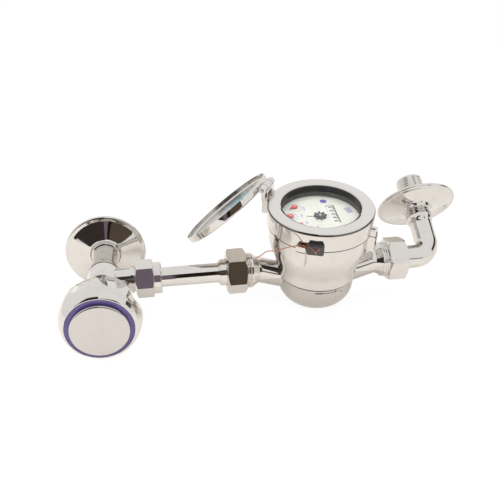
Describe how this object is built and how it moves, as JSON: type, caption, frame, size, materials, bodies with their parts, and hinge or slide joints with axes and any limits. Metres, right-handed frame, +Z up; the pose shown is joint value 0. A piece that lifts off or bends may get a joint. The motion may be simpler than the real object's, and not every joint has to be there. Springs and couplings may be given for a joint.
{
  "type": "water meter",
  "caption": "Chrome wall-mounted water meter set: stop valve with round knob, inlet tube, dry-dial meter with hinged lid and gear-driven register, outlet elbow and wall rosettes.",
  "frame": {"origin": "centre of the inlet wall thread in the wall plane", "axes": "+X along the pipe from inlet to outlet, +Y into the wall along the inlet thread, +Z up"},
  "size_m": [0.3179, 0.1378, 0.0976],
  "materials": {
    "chrome": "polished chrome plate",
    "brass": "turned",
    "steel": "ground",
    "rubber": "matt",
    "fibre": "matt sealing sheet",
    "white_plastic": "satin",
    "ivory_plastic": "moulded",
    "dark_plastic": "satin",
    "red_plastic": "moulded",
    "violet_plastic": "moulded",
    "window": "clear",
    "magnet": "matt",
    "copper": "drawn wire",
    "seal_lead": "matt grey"
  },
  "bodies": {
    "valve": {"inlet_rosette": "chrome", "valve_body": "chrome", "valve_bonnet": "brass", "compression_nut": "chrome", "compression_ring": "brass", "inlet_tube": "chrome"},
    "knob": {"knob": "chrome", "knob_ring": "violet_plastic", "knob_cap": "chrome", "knob_screw": "steel", "valve_spindle": "brass"},
    "valve_disc": {"valve_disc": "brass", "valve_washer": "rubber"},
    "meter": {"inlet_gasket": "fibre", "inlet_union_nut": "chrome", "inlet_strainer": "white_plastic", "meter_body": "chrome", "impeller_pin": "steel", "pressure_plate": "white_plastic", "clamp_ring": "brass", "register_cup": "dark_plastic", "base_plate": "white_plastic", "dial_plate": "white_plastic", "counter_shaft": "steel", "window_glass": "window", "window_gasket": "rubber", "bezel_ring": "chrome", "hinge_pin": "steel", "seal_wire": "copper", "seal_block": "seal_lead", "outlet_gasket": "fibre", "outlet_union_nut": "chrome"},
    "lid": {"lid": "chrome"},
    "impeller": {"impeller": "white_plastic", "impeller_magnet": "magnet"},
    "centre": {"centre_arbor": "ivory_plastic", "follower_magnet": "magnet", "star_wheel": "dark_plastic"},
    "gear_a": {"gear_a": "ivory_plastic"},
    "gear_b": {"gear_b": "ivory_plastic"},
    "decade_1": {"pointer_gear_1": "ivory_plastic", "pointer_1": "red_plastic"},
    "idler_1": {"idler_gear_1": "ivory_plastic"},
    "decade_2": {"pointer_gear_2": "ivory_plastic", "pointer_2": "red_plastic"},
    "idler_2": {"idler_gear_2": "ivory_plastic"},
    "decade_3": {"pointer_gear_3": "ivory_plastic", "pointer_3": "red_plastic"},
    "idler_3": {"idler_gear_3": "ivory_plastic"},
    "decade_4": {"pointer_gear_4": "ivory_plastic", "pointer_4": "red_plastic"},
    "number_1": {"number_wheel_1": "white_plastic"},
    "number_2": {"number_wheel_2": "white_plastic"},
    "number_3": {"number_wheel_3": "white_plastic"},
    "number_4": {"number_wheel_4": "white_plastic"},
    "number_5": {"number_wheel_5": "white_plastic"},
    "outlet": {"outlet_elbow": "chrome", "outlet_rosette": "chrome"}
  },
  "joints": [
    {"name": "knob_turn", "type": "hinge", "parent": "valve", "child": "knob", "pos_m": [0, -0.09, 0], "axis": [0, -1, 0], "range_deg": [-1080, 0]},
    {"name": "disc_slide", "type": "slide", "parent": "valve", "child": "valve_disc", "axis": [0, -1, 0], "range_m": [-0.004, 0]},
    {"name": "inlet_swivel", "type": "hinge", "parent": "valve", "child": "meter", "pos_m": [0.162, -0.048, 0], "axis": [1, 0, 0], "range_deg": [-15, 83]},
    {"name": "outlet_swivel", "type": "hinge", "parent": "meter", "child": "outlet", "pos_m": [0.2545, -0.048, 0], "axis": [1, 0, 0], "range_deg": [-117, 20]},
    {"name": "lid_hinge", "type": "hinge", "parent": "meter", "child": "lid", "pos_m": [0.12553, -0.03204, 0.06217], "axis": [-0.5299, -0.8428, -0.0945], "range_deg": [-224.5, 0]},
    {"name": "impeller_spin", "type": "hinge", "parent": "meter", "child": "impeller", "pos_m": [0.162, -0.048, 0], "axis": [0, -0.1115, 0.9938], "continuous": true},
    {"name": "centre_spin", "type": "hinge", "parent": "meter", "child": "centre", "pos_m": [0.162, -0.05201, 0.03578], "axis": [0, -0.1115, 0.9938], "continuous": true},
    {"name": "gear_a_spin", "type": "hinge", "parent": "meter", "child": "gear_a", "pos_m": [0.15701, -0.04567, 0.03649], "axis": [0, -0.1115, 0.9938], "continuous": true},
    {"name": "gear_b_spin", "type": "hinge", "parent": "meter", "child": "gear_b", "pos_m": [0.15269, -0.03908, 0.03723], "axis": [0, -0.1115, 0.9938], "continuous": true},
    {"name": "pointer_1_spin", "type": "hinge", "parent": "meter", "child": "decade_1", "pos_m": [0.14584, -0.03755, 0.0374], "axis": [0, -0.1115, 0.9938], "continuous": true},
    {"name": "idler_1_spin", "type": "hinge", "parent": "meter", "child": "idler_1", "pos_m": [0.14438, -0.04382, 0.03669], "axis": [0, -0.1115, 0.9938], "continuous": true},
    {"name": "pointer_2_spin", "type": "hinge", "parent": "meter", "child": "decade_2", "pos_m": [0.14039, -0.04957, 0.03605], "axis": [0, -0.1115, 0.9938], "continuous": true},
    {"name": "idler_2_spin", "type": "hinge", "parent": "meter", "child": "idler_2", "pos_m": [0.14287, -0.05552, 0.03538], "axis": [0, -0.1115, 0.9938], "continuous": true},
    {"name": "pointer_3_spin", "type": "hinge", "parent": "meter", "child": "decade_3", "pos_m": [0.14298, -0.06249, 0.0346], "axis": [0, -0.1115, 0.9938], "continuous": true},
    {"name": "idler_3_spin", "type": "hinge", "parent": "meter", "child": "idler_3", "pos_m": [0.14847, -0.06591, 0.03422], "axis": [0, -0.1115, 0.9938], "continuous": true},
    {"name": "pointer_4_spin", "type": "hinge", "parent": "meter", "child": "decade_4", "pos_m": [0.15264, -0.07152, 0.03359], "axis": [0, -0.1115, 0.9938], "continuous": true},
    {"name": "number_1_spin", "type": "hinge", "parent": "meter", "child": "number_1", "pos_m": [0.1725, -0.04919, 0.0375], "axis": [0, 0.9938, 0.1115], "continuous": true},
    {"name": "number_2_spin", "type": "hinge", "parent": "meter", "child": "number_2", "pos_m": [0.1725, -0.04919, 0.0375], "axis": [0, 0.9938, 0.1115], "continuous": true},
    {"name": "number_3_spin", "type": "hinge", "parent": "meter", "child": "number_3", "pos_m": [0.1725, -0.04919, 0.0375], "axis": [0, 0.9938, 0.1115], "continuous": true},
    {"name": "number_4_spin", "type": "hinge", "parent": "meter", "child": "number_4", "pos_m": [0.1725, -0.04919, 0.0375], "axis": [0, 0.9938, 0.1115], "continuous": true},
    {"name": "number_5_spin", "type": "hinge", "parent": "meter", "child": "number_5", "pos_m": [0.1725, -0.04919, 0.0375], "axis": [0, 0.9938, 0.1115], "continuous": true}
  ],
  "couplings": [
    {"joint": "disc_slide", "follows": "knob_turn", "m_per_rad": 0.00021199},
    {"joint": "centre_spin", "follows": "impeller_spin", "ratio": 1},
    {"joint": "gear_a_spin", "follows": "impeller_spin", "ratio": -0.25},
    {"joint": "gear_b_spin", "follows": "impeller_spin", "ratio": 0.083333},
    {"joint": "pointer_1_spin", "follows": "impeller_spin", "ratio": -0.025},
    {"joint": "idler_1_spin", "follows": "impeller_spin", "ratio": 0.0083333},
    {"joint": "pointer_2_spin", "follows": "impeller_spin", "ratio": -0.0025},
    {"joint": "idler_2_spin", "follows": "impeller_spin", "ratio": 0.00083333},
    {"joint": "pointer_3_spin", "follows": "impeller_spin", "ratio": -0.00025},
    {"joint": "idler_3_spin", "follows": "impeller_spin", "ratio": 0.000083333},
    {"joint": "pointer_4_spin", "follows": "impeller_spin", "ratio": -0.000025},
    {"joint": "number_1_spin", "follows": "impeller_spin", "ratio": 0.0000025},
    {"joint": "number_2_spin", "follows": "impeller_spin", "ratio": 0.00000025},
    {"joint": "number_3_spin", "follows": "impeller_spin", "ratio": 0.000000025},
    {"joint": "number_4_spin", "follows": "impeller_spin", "ratio": 0.0000000025},
    {"joint": "number_5_spin", "follows": "impeller_spin", "ratio": 0.00000000025}
  ]
}
